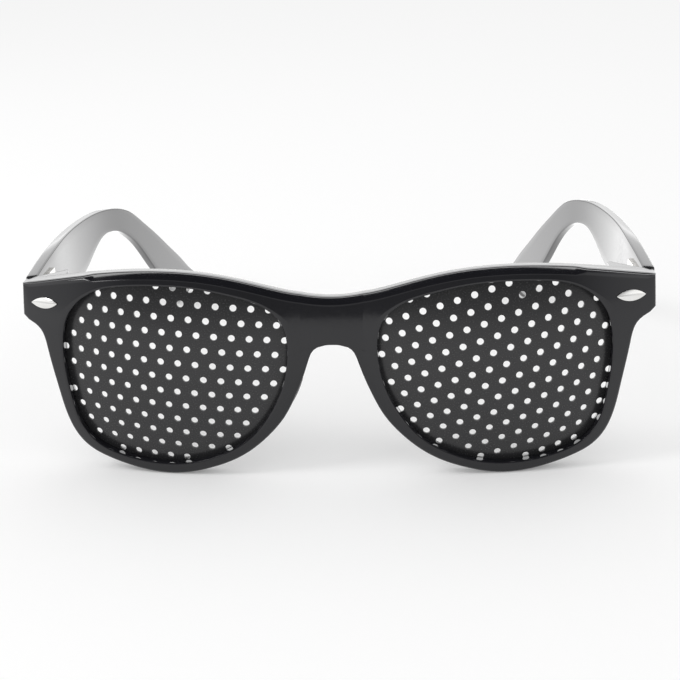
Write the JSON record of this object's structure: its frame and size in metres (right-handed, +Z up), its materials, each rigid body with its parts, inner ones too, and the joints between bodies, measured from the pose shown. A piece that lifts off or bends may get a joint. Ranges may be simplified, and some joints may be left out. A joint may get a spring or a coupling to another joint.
{
  "type": "pinhole glasses",
  "caption": "Pinhole glasses: a glossy black wrapped front, perforated opaque sheets in place of lenses, folding temples on barrel hinges and almond-shaped metal rivets.",
  "frame": {"origin": "on the table plane midway across the front, level with the foremost point of the front's curve", "axes": "+X to the wearer's left, +Y back along the temples, +Z up from the table; names say left and right as the wearer has them"},
  "size_m": [0.1473, 0.1441, 0.049],
  "materials": {
    "frame_plastic": "polished injection-moulded black plastic",
    "temple_plastic": "polished injection-moulded black plastic",
    "sheet_plastic": "satin opaque black plastic sheet",
    "rivet_metal": "polished bright metal",
    "hinge_metal": "plain nickel-plated metal",
    "screw_metal": "plain steel screw"
  },
  "bodies": {
    "front": {"front_frame": "frame_plastic", "left_lens": "sheet_plastic", "right_lens": "sheet_plastic", "left_front_rivet": "rivet_metal", "right_front_rivet": "rivet_metal", "left_front_hinge": "hinge_metal", "right_front_hinge": "hinge_metal", "left_hinge_screw": "screw_metal", "right_hinge_screw": "screw_metal"},
    "left_arm": {"left_temple": "temple_plastic", "left_temple_hinge": "hinge_metal", "left_temple_rivet": "rivet_metal"},
    "right_arm": {"right_temple": "temple_plastic", "right_temple_hinge": "hinge_metal", "right_temple_rivet": "rivet_metal"}
  },
  "joints": [
    {"name": "left_fold", "type": "hinge", "parent": "front", "child": "left_arm", "pos_m": [0.0668, 0.0193, 0.0404], "axis": [0, 0, 1], "range_deg": [-3.8, 81]},
    {"name": "right_fold", "type": "hinge", "parent": "front", "child": "right_arm", "pos_m": [-0.0668, 0.0193, 0.0404], "axis": [0, 0, -1], "range_deg": [0, 79]}
  ]
}
